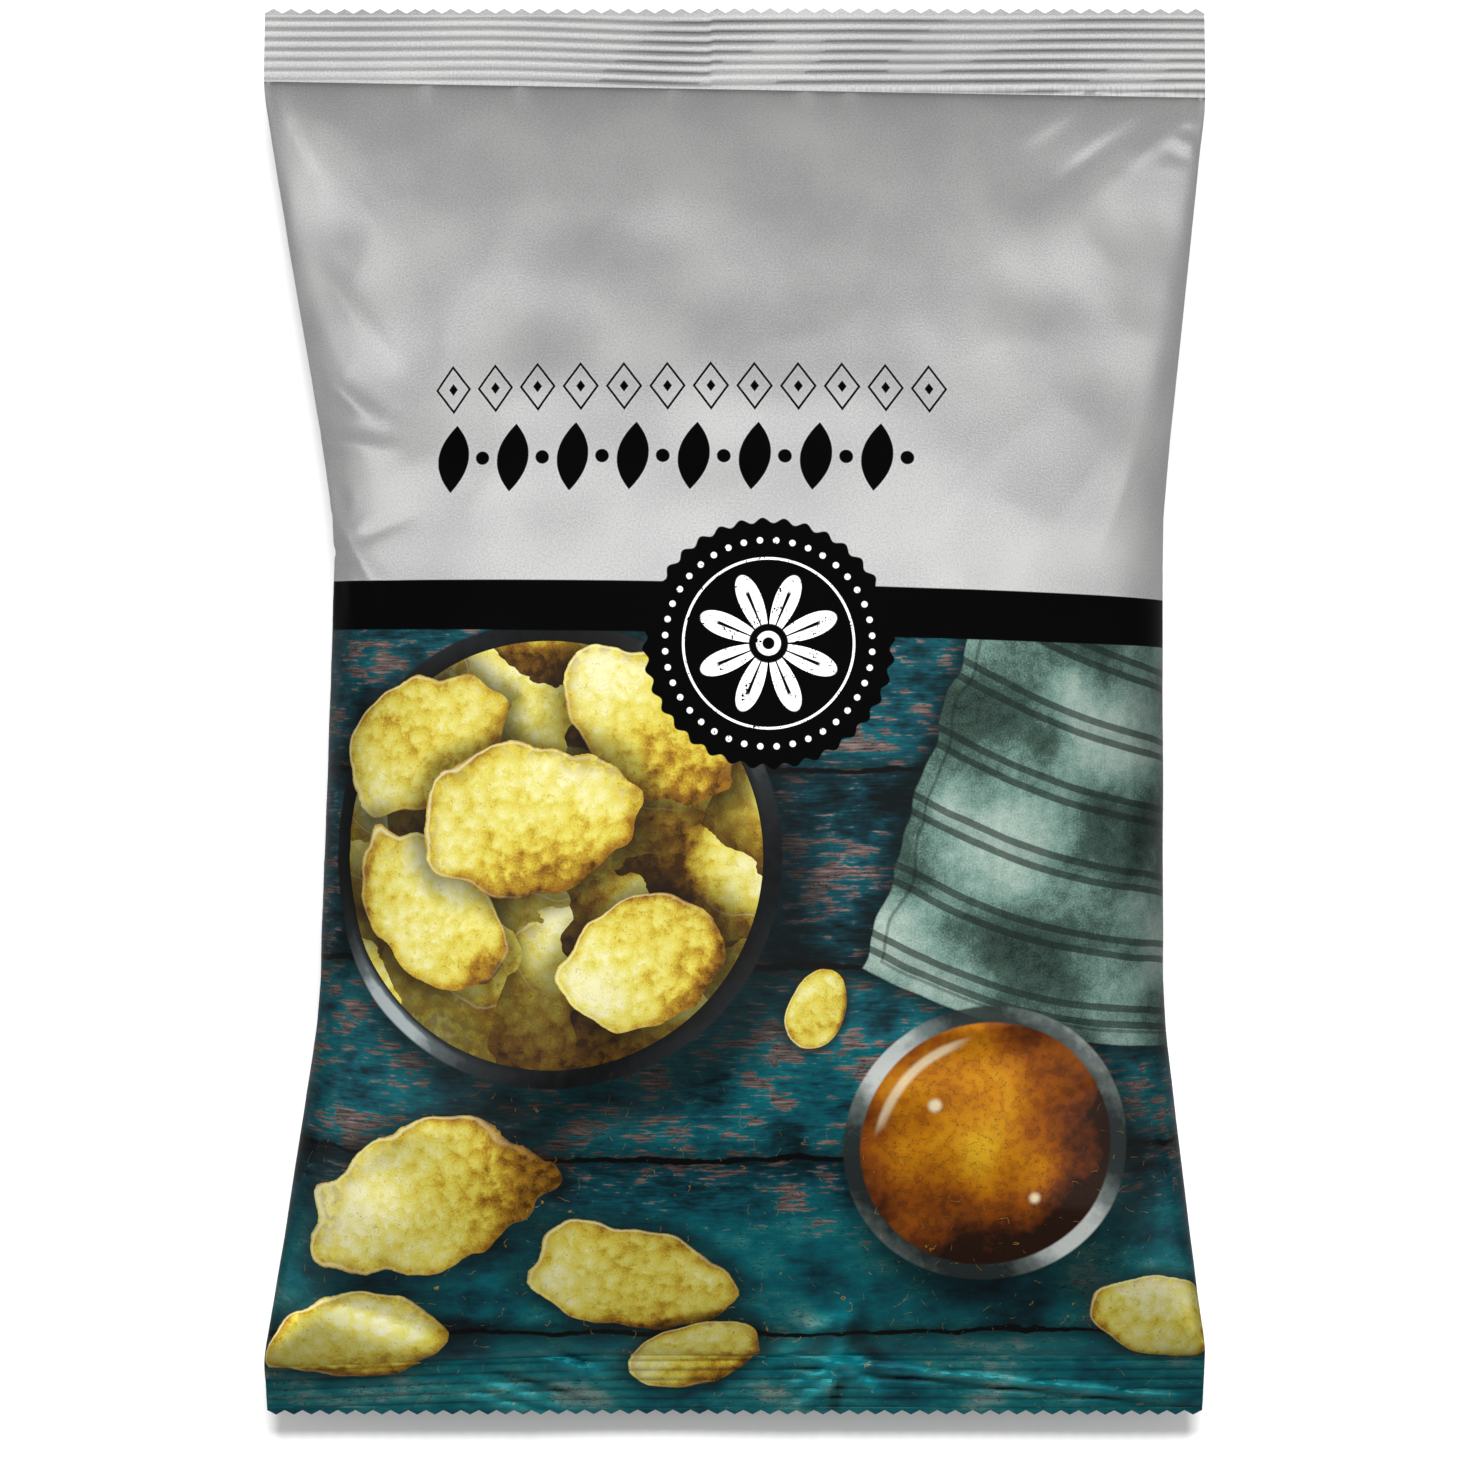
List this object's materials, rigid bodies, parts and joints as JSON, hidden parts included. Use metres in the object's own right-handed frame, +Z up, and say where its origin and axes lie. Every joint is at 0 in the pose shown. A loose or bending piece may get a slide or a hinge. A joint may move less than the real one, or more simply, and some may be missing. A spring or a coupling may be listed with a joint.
{
  "type": "bag of crisps",
  "caption": "Sealed pillow bag of crisps lying on its back: a blown-up tube of printed film with ribbed, zigzag-cut end welds and a flat seam down the back.",
  "frame": {"origin": "on the table, under the middle of the bag", "axes": "+X across the bag to its right seen from the front, +Y along the bag from the bottom weld to the top weld, +Z up out of the printed front"},
  "size_m": [0.2, 0.3, 0.0554],
  "materials": {
    "printed_film": "satin silver-grey plastic film, printed below the middle with a black band and a picture in teal, yellow and amber"
  },
  "bodies": {
    "root": {"bag": "printed_film"}
  },
  "joints": []
}
